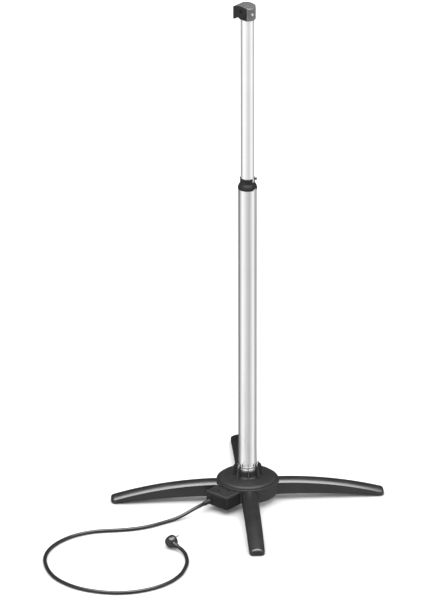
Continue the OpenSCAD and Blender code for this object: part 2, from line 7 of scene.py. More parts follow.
import bmesh
import bpy
from mathutils import Matrix, Vector


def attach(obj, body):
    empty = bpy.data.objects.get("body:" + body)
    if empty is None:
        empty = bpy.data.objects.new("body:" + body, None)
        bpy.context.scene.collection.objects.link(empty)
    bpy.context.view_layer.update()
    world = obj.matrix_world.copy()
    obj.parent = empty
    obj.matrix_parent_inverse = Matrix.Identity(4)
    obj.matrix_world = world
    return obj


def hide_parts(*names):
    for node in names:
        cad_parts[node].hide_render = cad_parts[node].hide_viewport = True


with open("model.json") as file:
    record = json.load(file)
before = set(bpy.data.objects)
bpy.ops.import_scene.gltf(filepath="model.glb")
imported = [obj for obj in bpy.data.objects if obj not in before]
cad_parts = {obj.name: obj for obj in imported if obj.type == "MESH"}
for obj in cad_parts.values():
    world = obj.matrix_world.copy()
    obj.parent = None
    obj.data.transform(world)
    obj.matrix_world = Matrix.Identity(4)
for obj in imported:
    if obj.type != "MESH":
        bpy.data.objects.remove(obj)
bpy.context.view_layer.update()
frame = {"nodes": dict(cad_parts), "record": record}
nodes = frame["nodes"]
scene = bpy.context.scene
MM = 0.001


# ------------------------------------------------------------------ camera
AZ, EL, DIST, FOCAL = math.radians(-4.1), math.radians(25.4), 23.44, 8000.0
back = Vector((math.sin(AZ) * math.cos(EL), -math.cos(AZ) * math.cos(EL), math.sin(EL)))
right = (-back).cross(Vector((0, 0, 1))).normalized()
up = right.cross(-back)
look = (-back - right * (35.5 / FOCAL) + up * (197.1 / FOCAL)).normalized()
cam_up = right.cross(look).normalized()
cam_right = look.cross(cam_up)
camera = bpy.data.objects.new("camera", bpy.data.cameras.new("camera"))
camera.data.lens = 480.0
camera.data.sensor_width = 36.0
camera.data.clip_start, camera.data.clip_end = 1.0, 200.0
camera.location = back * DIST
camera.rotation_mode = "QUATERNION"
camera.rotation_quaternion = Matrix((cam_right, cam_up, -look)).transposed().to_quaternion()
scene.collection.objects.link(camera)
scene.camera = camera
scene.view_settings.view_transform = "Standard"
scene.view_settings.look = "None"


# ------------------------------------------------------------------ frames of the pieces, in mm
def rad(d):
    return math.radians(d)


def rot(d, axis="Z"):
    return Matrix.Rotation(rad(d), 4, axis)


def move(x, y, z):
    return Matrix.Translation((x, y, z))


ALONG_X = rot(90, "Y")    # local Z becomes X
ALONG_Y = rot(-90, "X")   # local Z becomes Y
BOX = rot(225)
HEAD = rot(135)
PIVOT = HEAD @ move(8, 0, 1535)
PLUG = move(-244, -321.5, 18.6) @ rot(42) @ rot(11, "X")


# ------------------------------------------------------------------ mesh helpers
def arc(cx, cy, r, a0, a1, n):
    return [(cx + r * math.cos(rad(a0 + (a1 - a0) * i / n)), cy + r * math.sin(rad(a0 + (a1 - a0) * i / n))) for i in range(n + 1)]


def smooth_line(points, per=6):
    """A curve through the points, with the given number of steps between two of them."""
    out = []
    n = len(points)
    dim = len(points[0])
    for i in range(n - 1):
        p0, p1, p2, p3 = points[max(0, i - 1)], points[i], points[i + 1], points[min(n - 1, i + 2)]
        for k in range(per):
            t = k / per
            out.append(tuple(0.5 * (2 * p1[d] + (p2[d] - p0[d]) * t + (2 * p0[d] - 5 * p1[d] + 4 * p2[d] - p3[d]) * t * t
                                    + (3 * p1[d] - p0[d] - 3 * p2[d] + p3[d]) * t ** 3) for d in range(dim)))
    out.append(tuple(points[-1]))
    return out


def lathe(profile, n=128):
    """Profile of (radius, z) turned about Z. A profile that keeps off the axis is closed into a ring."""
    v, f, rows = [], [], []
    for r, z in profile:
        if r < 1e-6:
            rows.append([len(v)])
            v.append((0.0, 0.0, z))
        else:
            rows.append(list(range(len(v), len(v) + n)))
            v += [(r * math.cos(2 * math.pi * i / n), r * math.sin(2 * math.pi * i / n), z) for i in range(n)]
    pairs = list(zip(rows, rows[1:]))
    if len(rows[0]) > 1 and len(rows[-1]) > 1:
        pairs.append((rows[-1], rows[0]))
    for a, b in pairs:
        for i in range(n):
            j = (i + 1) % n
            if len(a) == 1 and len(b) > 1:
                f.append((a[0], b[j], b[i]))
            elif len(b) == 1 and len(a) > 1:
                f.append((a[i], a[j], b[0]))
            elif len(a) > 1:
                f.append((a[i], a[j], b[j], b[i]))
    return v, f


def loft(rings):
    """Closed loops of equally many points, skinned and closed at both ends."""
    v, f = [], []
    n = len(rings[0])
    for ring in rings:
        v += [tuple(p) for p in ring]
    for k in range(len(rings) - 1):
        for i in range(n):
            j = (i + 1) % n
            f.append((k * n + i, k * n + j, (k + 1) * n + j, (k + 1) * n + i))
    f.append(tuple(range(n - 1, -1, -1)))
    f.append(tuple(range((len(rings) - 1) * n, len(rings) * n)))
    return v, f


def fillet(corners, n=5):
    """Corners (x, y, radius), anticlockwise, as an outline with rounded corners."""
    out = []
    m = len(corners)
    for i, (x, y, r) in enumerate(corners):
        p, a, b = Vector((x, y)), Vector(corners[i - 1][:2]), Vector(corners[(i + 1) % m][:2])
        if r <= 0:
            out.append((x, y))
            continue
        da, db = (a - p).normalized(), (b - p).normalized()
        half = math.acos(max(-1, min(1, da.dot(db)))) / 2
        t = r / math.tan(half)
        c = p + (da + db).normalized() * (r / math.sin(half))
        s, e = p + da * t - c, p + db * t - c
        a0, a1 = math.atan2(s.y, s.x), math.atan2(e.y, e.x)
        d = (a1 - a0 + math.pi) % (2 * math.pi) - math.pi
        out += [(c.x + r * math.cos(a0 + d * k / n), c.y + r * math.sin(a0 + d * k / n)) for k in range(n + 1)]
    return out


def rounded(cx, cy, w, h, r, n=6):
    x0, x1, y0, y1 = cx - w / 2, cx + w / 2, cy - h / 2, cy + h / 2
    return fillet([(x0, y0, r), (x1, y0, r), (x1, y1, r), (x0, y1, r)], n)


def inset(outline, d):
    """The anticlockwise outline moved inwards by d."""
    out = []
    m = len(outline)
    for i in range(m):
        p, a, b = Vector(outline[i]), Vector(outline[i - 1]), Vector(outline[(i + 1) % m])
        u, w = (p - a).normalized(), (b - p).normalized()
        nu, nw = Vector((-u.y, u.x)), Vector((-w.y, w.x))
        s = nu + nw
        if s.length < 1e-9:
            s = nu
        s.normalize()
        k = max(0.5, s.dot(nu))
        out.append(tuple(p + s * (d / k)))
    return out


def with_lands(outline, land):
    """The outline with two more points on each long side, near its ends."""
    out = []
    for a, b in zip(outline, outline[1:] + outline[:1]):
        out.append(a)
        side = (Vector(b) - Vector(a))
        if side.length > 4 * land:
            out += [tuple(Vector(a) + side.normalized() * land), tuple(Vector(b) - side.normalized() * land)]
    return out


def slab(outline, z0, z1, low=0.0, high=0.0, n=4, land=0.0):
    """The outline extruded from z0 to z1, with its lower and upper edges rounded."""
    rings = []
    if land > 0:
        outline = with_lands(outline, land)
        rings.append([(x, y, z0) for x, y in inset(outline, low + land)])
    if low > 0:
        for k in range(n):
            t = rad(90 * k / n)
            rings.append([(x, y, z0 + low * (1 - math.cos(t))) for x, y in inset(outline, low * (1 - math.sin(t)))])
        rings.append([(x, y, z0 + low) for x, y in outline])
    else:
        rings.append([(x, y, z0) for x, y in outline])
    if land > 0:
        rings.append([(x, y, z0 + low + land) for x, y in outline])
        rings.append([(x, y, z1 - high - land) for x, y in outline])
    if high > 0:
        rings.append([(x, y, z1 - high) for x, y in outline])
        for k in range(1, n + 1):
            t = rad(90 * k / n)
            rings.append([(x, y, z1 - high * (1 - math.sin(t))) for x, y in inset(outline, high * (1 - math.cos(t)))])
    else:
        rings.append([(x, y, z1) for x, y in outline])
    if land > 0:
        rings.append([(x, y, z1) for x, y in inset(outline, high + land)])
    return loft(rings)


def hoop(rings):
    """Closed loops of equally many points, skinned round and round, the last one back to the first."""
    v, f = [], []
    n, m = len(rings[0]), len(rings)
    for ring in rings:
        v += [tuple(p) for p in ring]
    for k in range(m):
        for i in range(n):
            j = (i + 1) % n
            f.append((k * n + i, k * n + j, (k + 1) % m * n + j, (k + 1) % m * n + i))
    return v, f


class Shape:
    """Vertices in mm and faces, gathered from several solids."""

    def __init__(self):
        self.v, self.f = [], []

    def add(self, made, place=None):
        v, f = made
        k = len(self.v)
        self.v += [tuple(place @ Vector(p)) if place is not None else tuple(p) for p in v]
        self.f += [tuple(i + k for i in q) for q in f]
        return self


def tidy(mesh, angle):
    b = bmesh.new()
    b.from_mesh(mesh)
    bmesh.ops.remove_doubles(b, verts=b.verts, dist=1e-7)
    bmesh.ops.dissolve_degenerate(b, edges=b.edges, dist=1e-7)
    bmesh.ops.recalc_face_normals(b, faces=b.faces)
    b.to_mesh(mesh)
    b.free()
    mesh.shade_smooth()
    mesh.set_sharp_from_angle(angle=rad(angle))


def raw(name, shape):
    mesh = bpy.data.meshes.new(name)
    mesh.from_pydata([tuple(c * MM for c in p) for p in shape.v], [], shape.f)
    ob = bpy.data.objects.new(name, mesh)
    scene.collection.objects.link(ob)
    tidy(mesh, 180)
    return ob


def piece(name, shape, material, body, stands_for=(), angle=36, cuts=(), joins=()):
    """A finished piece: its mesh, joined and cut where needed, with its material and the body that carries it."""
    ob = raw(name, shape)
    for operation, tool_shape in [("UNION", j) for j in joins] + [("DIFFERENCE", c) for c in cuts]:
        tool = raw(name + "_tool", tool_shape)
        m = ob.modifiers.new("cut", "BOOLEAN")
        m.operation, m.solver, m.object = operation, "EXACT", tool
        made = bpy.data.meshes.new_from_object(ob.evaluated_get(bpy.context.evaluated_depsgraph_get()))
        ob.modifiers.clear()
        old, ob.data = ob.data, made
        bpy.data.meshes.remove(old)
        tool_mesh = tool.data
        bpy.data.objects.remove(tool)
        bpy.data.meshes.remove(tool_mesh)
    ob.data.name = name
    tidy(ob.data, angle)
    ob.data.materials.clear()
    ob.data.materials.append(material)
    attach(ob, body)
    if stands_for:
        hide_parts(*stands_for)
    return ob


# ------------------------------------------------------------------ materials
def start(name):
    m = bpy.data.materials.new(name)
    m.use_nodes = True
    nt = m.node_tree
    return m, nt, nt.nodes["Principled BSDF"]


def noise(nt, coords, scale, detail=3.0, rough=0.5):
    n = nt.nodes.new("ShaderNodeTexNoise")
    n.inputs["Scale"].default_value = scale
    n.inputs["Detail"].default_value = detail
    n.inputs["Roughness"].default_value = rough
    nt.links.new(coords, n.inputs["Vector"])
    return n.outputs["Fac"]


def span(nt, value, lo, hi, to_lo, to_hi):
    n = nt.nodes.new("ShaderNodeMapRange")
    n.inputs["From Min"].default_value = lo
    n.inputs["From Max"].default_value = hi
    n.inputs["To Min"].default_value = to_lo
    n.inputs["To Max"].default_value = to_hi
    nt.links.new(value, n.inputs["Value"])
    return n.outputs["Result"]


def ramp(nt, value, stops):
    n = nt.nodes.new("ShaderNodeValToRGB")
    e = n.color_ramp.elements
    while len(e) < len(stops):
        e.new(0.5)
    for item, (pos, col) in zip(e, stops):
        item.position = pos
        item.color = (*col, 1.0)
    nt.links.new(value, n.inputs["Fac"])
    return n.outputs["Color"]


def mixed(nt, fac, a, b, blend="MIX"):
    n = nt.nodes.new("ShaderNodeMix")
    n.data_type = "RGBA"
    n.blend_type = blend
    for socket, value in ((n.inputs[0], fac), (n.inputs[6], a), (n.inputs[7], b)):
        if isinstance(value, bpy.types.NodeSocket):
            nt.links.new(value, socket)
        elif isinstance(value, tuple):
            socket.default_value = (*value, 1.0)
        else:
            socket.default_value = value
    return n.outputs[2]


def maths(nt, op, a, b=None):
    n = nt.nodes.new("ShaderNodeMath")
    n.operation = op
    for socket, value in ((n.inputs[0], a), (n.inputs[1], b)):
        if isinstance(value, bpy.types.NodeSocket):
            nt.links.new(value, socket)
        elif value is not None:
            socket.default_value = value
    return n.outputs[0]


def bump(nt, shader, height, distance, strength=1.0):
    n = nt.nodes.new("ShaderNodeBump")
    n.inputs["Strength"].default_value = strength
    n.inputs["Distance"].default_value = distance
    nt.links.new(height, n.inputs["Height"])
    nt.links.new(n.outputs["Normal"], shader.inputs["Normal"])


def place(nt, scale=(1, 1, 1)):
    t = nt.nodes.new("ShaderNodeTexCoord")
    if scale == (1, 1, 1):
        return t.outputs["Object"]
    m = nt.nodes.new("ShaderNodeMapping")
    m.inputs["Scale"].default_value = scale
    nt.links.new(t.outputs["Object"], m.inputs["Vector"])
    return m.outputs["Vector"]


def edges(nt, lo=0.52, hi=0.60):
    g = nt.nodes.new("ShaderNodeNewGeometry")
    return span(nt, g.outputs["Pointiness"], lo, hi, 0.0, 1.0)


def moulded(name, dark, light, rough, spread, grain_mm, depth_mm, specular=0.5, edge_wear_and_highlight=0.35, edge_wear_and_highlight_tone=0.09, edge=(0.52, 0.60), painted_top_light=0.0):
    """Moulded or coated black: cloudy tone, fine grain, paler edges that are partly wear and partly painted
    highlight, and painted light that makes upward faces paler.
    """
    m, nt, s = start(name)
    at = place(nt)
    cloud = noise(nt, at, 22.0, 4.0)
    grain = noise(nt, at, 1000.0 / grain_mm, 2.0)
    tone = ramp(nt, cloud, [(0.30, (dark, dark, dark * 1.03)), (0.72, (light, light, light * 1.03))])
    speck = span(nt, grain, 0.3, 0.7, 0.76, 0.98)
    tone = mixed(nt, 1.0, tone, speck, "MULTIPLY")
    # paler edges: partly wear and partly a painted highlight, edges lightened by pointiness where they would catch
    # light
    edge_wear_and_highlight_mask = maths(nt, "MULTIPLY", edges(nt, *edge), span(nt, noise(nt, at, 140.0, 3.0), 0.35, 0.65, 0.2 * edge_wear_and_highlight, edge_wear_and_highlight))
    tone = mixed(nt, edge_wear_and_highlight_mask, tone, (edge_wear_and_highlight_tone, edge_wear_and_highlight_tone, edge_wear_and_highlight_tone))
    # painted light: faces turned up are made paler, standing for light falling from above
    if painted_top_light > 0:
        facing = nt.nodes.new("ShaderNodeSeparateXYZ")
        coords = nt.nodes.new("ShaderNodeTexCoord")
        nt.links.new(coords.outputs["Normal"], facing.inputs[0])
        painted_top_light_mask = maths(nt, "MULTIPLY", span(nt, facing.outputs["Z"], 0.45, 0.85, 0.0, 1.0), span(nt, noise(nt, at, 120.0, 3.0), 0.3, 0.7, 0.7, 1.0))
        tone = mixed(nt, painted_top_light_mask, tone, (painted_top_light, painted_top_light, painted_top_light * 1.02))
    nt.links.new(tone, s.inputs["Base Color"])
    nt.links.new(span(nt, mixed(nt, 0.5, cloud, grain), 0.3, 0.7, rough - spread, rough + spread), s.inputs["Roughness"])
    s.inputs["Specular IOR Level"].default_value = specular
    bump(nt, s, grain, depth_mm * MM)
    return m


def drawn_metal(name, low, high, rough, spread, across=700.0, along=4.0, depth_mm=0.004):
    """Satin tube with fine lines along its length."""
    m, nt, s = start(name)
    lines = noise(nt, place(nt, (1.0, 1.0, along / across)), across, 4.0, 0.6)
    cloud = noise(nt, place(nt), 9.0, 3.0)
    nt.links.new(ramp(nt, mixed(nt, 0.35, lines, cloud), [(0.34, (low, low, low * 1.01)), (0.66, (high, high, high * 1.01))]), s.inputs["Base Color"])
    nt.links.new(span(nt, mixed(nt, 0.4, lines, cloud), 0.3, 0.7, rough - spread, rough + spread), s.inputs["Roughness"])
    s.inputs["Metallic"].default_value = 1.0
    bump(nt, s, lines, depth_mm * MM)
    return m


def plain_metal(name, low, high, rough, spread, scale=260.0, depth_mm=0.01):
    """Plated or turned metal with faint cloudiness."""
    m, nt, s = start(name)
    fine = noise(nt, place(nt), scale, 4.0)
    cloud = noise(nt, place(nt), 40.0, 2.0)
    nt.links.new(ramp(nt, mixed(nt, 0.5, fine, cloud), [(0.3, low), (0.7, high)]), s.inputs["Base Color"])
    nt.links.new(span(nt, fine, 0.3, 0.7, rough - spread, rough + spread), s.inputs["Roughness"])
    s.inputs["Metallic"].default_value = 1.0
    bump(nt, s, fine, depth_mm * MM)
    return m


def pale_plastic(name, low, high, rough):
    m, nt, s = start(name)
    fine = noise(nt, place(nt), 500.0, 3.0)
    cloud = noise(nt, place(nt), 30.0, 3.0)
    nt.links.new(ramp(nt, mixed(nt, 0.4, cloud, fine), [(0.3, low), (0.7, high)]), s.inputs["Base Color"])
    nt.links.new(span(nt, fine, 0.3, 0.7, rough - 0.06, rough + 0.06), s.inputs["Roughness"])
    s.inputs["Subsurface Weight"].default_value = 0.05
    bump(nt, s, fine, 0.01 * MM)
    return m


LEG = moulded("leg_paint", 0.012, 0.018, 0.32, 0.05, 1.6, 0.010, 0.62, 0.0, 0.05)
CAP = moulded("cap_plastic", 0.012, 0.018, 0.36, 0.05, 0.8, 0.012, 0.45, 0.2, 0.07)
HUB = moulded("hub_plastic", 0.020, 0.030, 0.50, 0.06, 0.7, 0.016, 0.24, 0.80, 0.11)
BOXP = moulded("box_plastic", 0.006, 0.010, 0.46, 0.06, 0.7, 0.014, 0.14, 0.80, 0.07, (0.505, 0.55))
LID = moulded("lid_plastic", 0.020, 0.030, 0.40, 0.06, 0.7, 0.016, 0.30, 0.0, 0.10)
# painted highlight: a pale copy of the black plastic, used for thin strips standing for light caught on fin and lid
# edges
EDGE_HIGHLIGHT = moulded("painted_highlight_plastic", 0.07, 0.11, 0.40, 0.06, 0.7, 0.016, 0.40, 0.0, 0.10)
COLLAR = moulded("collar_plastic", 0.009, 0.015, 0.42, 0.06, 0.6, 0.012, 0.20, 0.3, 0.07)
# painted light: a paler copy of the black plastic for the head cap, standing for light from the right on its right
# face
HEAD_LIT_COPY = moulded("head_plastic_lit_copy", 0.070, 0.100, 0.40, 0.06, 0.6, 0.014, 0.4, 0.45, 0.20)
# the last argument paints light onto this plastic's upward faces
KNUCKLE = moulded("knuckle_plastic", 0.009, 0.015, 0.40, 0.06, 0.6, 0.014, 0.22, 0.0, 0.10, (0.52, 0.60), 0.11)
RUBBER = moulded("rubber", 0.012, 0.019, 0.46, 0.07, 0.9, 0.014, 0.40, 0.2, 0.06)
CORD = moulded("cord_sheath", 0.009, 0.014, 0.31, 0.05, 1.2, 0.010, 0.52, 0.0, 0.04)
PLUGP = moulded("plug_plastic", 0.011, 0.018, 0.30, 0.05, 0.7, 0.012, 0.5, 0.35, 0.10)
LOWER = drawn_metal("lower_tube_metal", 0.86, 0.93, 0.20, 0.03)
UPPER = drawn_metal("upper_tube_metal", 0.94, 0.99, 0.35, 0.03)
BRIGHT = plain_metal("bright_metal", (0.70, 0.70, 0.71), (0.80, 0.80, 0.81), 0.18, 0.04)
TRIM = plain_metal("trim_metal", (0.50, 0.50, 0.51), (0.58, 0.58, 0.59), 0.52, 0.04)
BLACKED = plain_metal("blacked_steel", (0.020, 0.020, 0.021), (0.040, 0.040, 0.042), 0.45, 0.06)
ZINC = plain_metal("zinc_steel", (0.50, 0.50, 0.52), (0.66, 0.66, 0.68), 0.34, 0.06)
BRASS = plain_metal("brass", (0.62, 0.46, 0.20), (0.76, 0.60, 0.30), 0.28, 0.05)
NYLON = pale_plastic("nylon", (0.70, 0.69, 0.64), (0.82, 0.81, 0.76), 0.45)

by_slot = {"hub_plastic": HUB, "satin_plastic": HEAD_LIT_COPY, "leg_paint": LEG, "mast_aluminium": LOWER, "bright_metal": BRIGHT,
           "zinc_steel": ZINC, "nylon": NYLON, "brass": BRASS, "rubber": RUBBER, "plug_plastic": PLUGP}
for part in frame["record"]["subparts"]:
    ob = nodes[part["node"]]
    ob.data.materials.clear()
    blacked = part["node"] in ("lid_screws", "clamp_insert", "pivot_bolt", "pivot_nut")
    ob.data.materials.append(BLACKED if blacked else by_slot[part["material_slot"]])


# ------------------------------------------------------------------ mains cord
def unit(p):
    v = Vector(p)
    return v.normalized()


cord_exit = BOX @ Vector((137.5 + 25 + 0.05, -28, 27.5))
plug_way = Vector((math.sin(rad(42)) * math.cos(rad(11)), -math.cos(rad(42)) * math.cos(rad(11)), -math.sin(rad(11))))
cord_end = Vector((-244, -321.5, 18.6)) + Vector((math.cos(rad(42)), math.sin(rad(42)), 0)) * -3 + plug_way * 30.05
floor_z = 5.35
route = [tuple(cord_exit), tuple(cord_exit + 8 * Vector((math.cos(rad(225)), math.sin(rad(225)), 0))),
         (-153, -111.5, 26.3), (-168, -120.5, 22.5), (-186, -129, 16), (-206, -138.5, 9.8), (-228, -149.5, 6.2)]
route += [(x, y, floor_z) for x, y in (
    (-252, -162), (-286, -181), (-320, -195), (-355, -203), (-391, -207), (-426, -208), (-461, -212), (-496, -223),
    (-532, -243), (-566, -274), (-592, -312), (-608, -355), (-613, -400), (-607, -455), (-590, -506), (-562, -547), (-528, -579),
    (-484, -603), (-436, -617), (-386, -619), (-338, -608), (-294, -586), (-256, -553), (-228, -511), (-213, -470), (-207, -445), (-204.5, -421))]
route += [(-205, -400, 5.6), (-207, -382, 6.7), (-212, -366, 8.5), tuple(cord_end + 10 * plug_way), tuple(cord_end)]
line = [route[0]] + smooth_line(route, 6)[6:-6] + [route[-1]]
curve = bpy.data.curves.new("mains_lead", "CURVE")
curve.dimensions = "3D"
curve.bevel_depth = 5.25 * MM
curve.bevel_resolution = 6
curve.use_fill_caps = True
spline = curve.splines.new("POLY")
spline.points.add(len(line) - 1)
for point, p in zip(spline.points, line):
    point.co = (p[0] * MM, p[1] * MM, p[2] * MM, 1.0)
spline.use_smooth = True
curve.materials.append(CORD)
lead = bpy.data.objects.new("mains_lead", curve)
scene.collection.objects.link(lead)
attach(lead, "base")
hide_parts("mains_cord")


# ------------------------------------------------------------------ legs
TOP_R = (310.0 ** 2 + 43.5 ** 2) / (2 * 43.5)
UND_R = (280.0 ** 2 + 16.7 ** 2) / (2 * 16.7)


def leg_ring(r, grow=0.0):
    """Section of a leg at distance r from the mast: a round back meeting plain sides at a soft edge."""
    w = 22.6 - 0.2 * max(0.0, r - 90) / 300
    zt = 62.2 - TOP_R + math.sqrt(TOP_R ** 2 - (r - 90) ** 2)
    zb = 17.3 - UND_R + math.sqrt(UND_R ** 2 - (r - 120) ** 2)
    if r > 386:
        w -= 14 - math.sqrt(max(0.0, 14.0 ** 2 - (r - 386) ** 2))
    if r > 392:
        zt -= 8 - math.sqrt(max(0.0, 8.0 ** 2 - (r - 392) ** 2))
    if r > 395:
        zb += 5 - math.sqrt(max(0.0, 5.0 ** 2 - (r - 395) ** 2))
    big = 33.8 + grow
    w, zt, zb = w + grow, zt + grow, zb - grow
    rb, re = min(1.8, 0.2 * (zt - zb)), 1.0
    # the soft edge: a small arc between the round back and the side
    out = math.asin((w - re) / (big - re))
    ex, ez = w - re, zt - big + (big - re) * math.cos(out)
    low = zb + rb + 0.4
    if ez < low:
        ez = low
    side = arc(w - rb, zb + rb, rb, -90, 0, 3) + arc(ex, ez, re, 0, 90 - math.degrees(out), 4)
    v0, z0 = side[-1]
    top = []
    for k in range(1, 18):
        v = v0 * (1 - 2 * k / 18)
        top.append((v, max(z0, zt - big + math.sqrt(big ** 2 - v * v))))
    ring = side + top + [(-v, z) for v, z in reversed(side)]
    if r < 91.2:
        ring = [(v, min(z, 55.3 + grow)) for v, z in ring]
    return [(r, v, z) for v, z in ring]


leg_steps = [62, 72, 80, 86, 91.19, 91.21] + [95 + 7.5 * i for i in range(39)] + [385, 387, 388.5, 390, 391.2, 392.3, 393.3, 394.2, 395.1, 395.9]
cap_steps = [396.06] + [396 + 4 * math.sin(rad(t)) for t in range(6, 91, 7)]
legs = {"leg_front": -90, "leg_right": 0, "leg_back": 90, "leg_left": 180}
for node, turn in legs.items():
    shell = piece(node + "_shell", Shape().add(loft([leg_ring(r) for r in leg_steps]), rot(turn)), LEG, "base", (node,), 50)
    shell.visible_glossy = False
caps = Shape()
for turn in legs.values():
    caps.add(loft([leg_ring(r) for r in cap_steps]), rot(turn))
piece("leg_tips", caps, CAP, "base", ("leg_end_caps",), 50)


# ------------------------------------------------------------------ hub
hub = [(81.5, 19.4), (82.0, 18.8), (85.6, 18.8), (86.2, 19.1), (86.5, 19.7), (88.6, 38), (90.6, 59.4)]
hub += arc(88.5, 61.3, 2.1, -6, 88, 8) + [(86.6, 63.4), (86.0, 63.1), (85.8, 62.5), (85.7, 59.6), (60, 59.6), (60, 56.3), (81.5, 56.3)]
hub_cuts = [Shape().add(loft([leg_ring(r, 0.45) for r in (70, 78, 86, 94, 102)]), rot(t)) for t in legs.values()]
hub_cuts.append(Shape().add(slab(rounded(110, 0, 72.6, 80.7, 2.4), 5, 58.95), BOX))
piece("hub_shell", Shape().add(lathe(hub, 180)), HUB, "base", ("hub_body",), 40, hub_cuts)

dome = [(85.0, 60.2), (85.1, 62.4)] + arc(75.2, 60.9, 10.1, 8, 78, 16)
dome += smooth_line([(77.3, 70.78), (72, 71.55), (64, 72.2), (55, 72.8), (47, 73.4), (41.5, 73.85)], 3)[1:]
dome += arc(40.2, 81.7, 8.0, 264, 190, 9)[1:] + [(31.9, 84), (31.5, 93.2)] + arc(30.3, 93.3, 1.2, 0, 90, 4) + [(29.3, 94.6), (27.2, 94.4), (27.2, 64), (33, 64), (33, 69), (74, 65.5), (80, 60.2)]
cover = Shape().add(lathe(dome, 180))
fin = fillet([(29.2, 90.0, 0), (31.0, 71.0, 0), (45.0, 71.0, 0), (43.2, 86.0, 12.0), (40.8, 104.0, 5.0), (38.2, 109.6, 2.0), (34.0, 111.6, 1.5), (31.3, 117.2, 0.6), (29.6, 117.8, 0.4)], 4)
fin_v, fin_f = slab(fin, -1.2, 1.2, 0.45, 0.45, 3)
# painted highlight: thin pale strips along the fins' outer edges, standing for light caught on those edges
edge = [p for p in fin if p[0] > 31.0 and p[1] > 74.0]
outer, inner = [], []
for i, p in enumerate(edge):
    a, b = edge[max(0, i - 1)], edge[min(len(edge) - 1, i + 1)]
    run = math.hypot(b[0] - a[0], b[1] - a[1])
    away = ((b[1] - a[1]) / run, (a[0] - b[0]) / run)
    outer.append((p[0] + 0.15 * away[0], p[1] + 0.15 * away[1]))
    inner.append((p[0] - 0.9 * away[0], p[1] - 0.9 * away[1]))
edge_v, edge_f = slab(outer + inner[::-1], -0.8, 0.8)
fin_v = [(x, y, z * (1 - 0.65 * max(0.0, min(1.0, (y - 84) / 24)))) for x, y, z in fin_v]
edge_v = [(x, y, z * (1 - 0.65 * max(0.0, min(1.0, (y - 84) / 24)))) for x, y, z in edge_v]
fin_edge_highlights = Shape()
for i in range(8):
    cover.add((fin_v, fin_f), rot(45 * i) @ rot(90, "X"))
    fin_edge_highlights.add((edge_v, edge_f), rot(45 * i) @ rot(90, "X"))
piece("hub_dome", cover, HUB, "base", ("hub_cover",), 34)
piece("fin_edge_highlights", fin_edge_highlights, EDGE_HIGHLIGHT, "base", ("hub_cover",), 34)

ring = [(27.05, 95.05), (28.7, 95.05), (29.0, 95.4)] + arc(28.5, 99.9, 0.5, 0, 90, 5)
ring += [(28.0, 100.45), (27.8, 100.7), (27.75, 106.4), (27.85, 106.8)] + arc(27.7, 107.4, 0.6, -50, 85, 7) + [(27.05, 108.1)]
piece("trim_ring", Shape().add(lathe(ring, 160)), TRIM, "base", ("socket_ring",), 40)


# ------------------------------------------------------------------ tubes
def pipe(r, ri, z0, z1, c=0.5):
    return lathe([(ri + c, z0), (r - c, z0), (r, z0 + c), (r, z1 - c), (r - c, z1), (ri + c, z1), (ri, z1 - c), (ri, z0 + c)], 192)


lower_tube = piece("lower_tube_shell", Shape().add(pipe(27.0, 25.0, 26.1, 990)), LOWER, "base", ("lower_tube",), 30)
upper_tube = piece("upper_tube_shell", Shape().add(pipe(20.0, 18.5, 664.1, 1512)), UPPER, "mast", ("upper_tube",), 30)
lower_tube.visible_glossy = upper_tube.visible_glossy = False


# ------------------------------------------------------------------ clamp collar
bell = [(27.1, 984.5), (27.6, 984.5), (28.0, 984.75), (28.2, 985.3)]
bell += smooth_line([(28.2, 986.2), (28.15, 988.2), (27.8, 990.6), (27.05, 993.2), (25.9, 996.0), (24.4, 998.9), (23.0, 1001.2), (22.1, 1003.0), (21.7, 1004.6), (21.6, 1006.5)], 4)
bell += [(21.6, 1014.6), (21.7, 1015.3), (22.1, 1015.8)] + arc(21.3, 1017.1, 1.15, -30, 80, 7) + [(20.7, 1018.3), (20.4, 1017.9), (20.35, 1017.4), (20.35, 990.1), (27.1, 990.1)]
boss = Shape().add(lathe(bell, 160))
boss.add(slab(rounded(1011.2, 0, 14.2, 11, 2.4), 20.9, 23.7, 0, 0.8), rot(8) @ Matrix(((0, 0, 1, 0), (0, 1, 0, 0), (-1, 0, 0, 0), (0, 0, 0, 1))) @ Matrix.Scale(-1, 4, (1, 0, 0)))
gap = [(0, 0)] + [(40 * math.cos(rad(a)), 40 * math.sin(rad(a))) for a in (-50, -40, -29, -19, -9)]
split = Shape().add(slab(gap, 1005.2, 1030))
notch = Shape().add(lathe([(0, 26.2), (15, 26.2), (15, 42), (0, 42)], 96), rot(-40) @ move(0, 0, 974) @ ALONG_X)
piece("collar_shell", boss, COLLAR, "base", ("clamp_collar",), 32, [split, notch])

knob = []
for z, s in ((23.9, 0.90), (24.2, 1.0), (26.8, 1.0), (27.3, 0.95), (27.6, 0.82)):
    knob.append([(s * (3.75 + 0.22 * math.cos(18 * rad(5 * k))) * math.cos(rad(5 * k)), s * (3.75 + 0.22 * math.cos(18 * rad(5 * k))) * math.sin(rad(5 * k)), z) for k in range(72)])
screw = Shape().add(loft(knob)).add(lathe([(0, 20.36), (2.2, 20.36), (2.45, 20.6), (2.45, 24.5), (0, 24.5)], 40))
slot_cut = Shape().add(slab(rounded(0, 0, 9, 1.1, 0.2, 2), 26.7, 29))
along = rot(8) @ move(0, 0, 1012) @ ALONG_X
for s in (screw, slot_cut):
    s.v = [tuple(along @ Vector(p)) for p in s.v]
piece("clamp_knob", screw, CAP, "clamp_screw", ("clamp_screw",), 40, [slot_cut])


# ------------------------------------------------------------------ head
def crown(x):
    return 1482.9 + math.sqrt(70.0 ** 2 - (x - 5) ** 2)


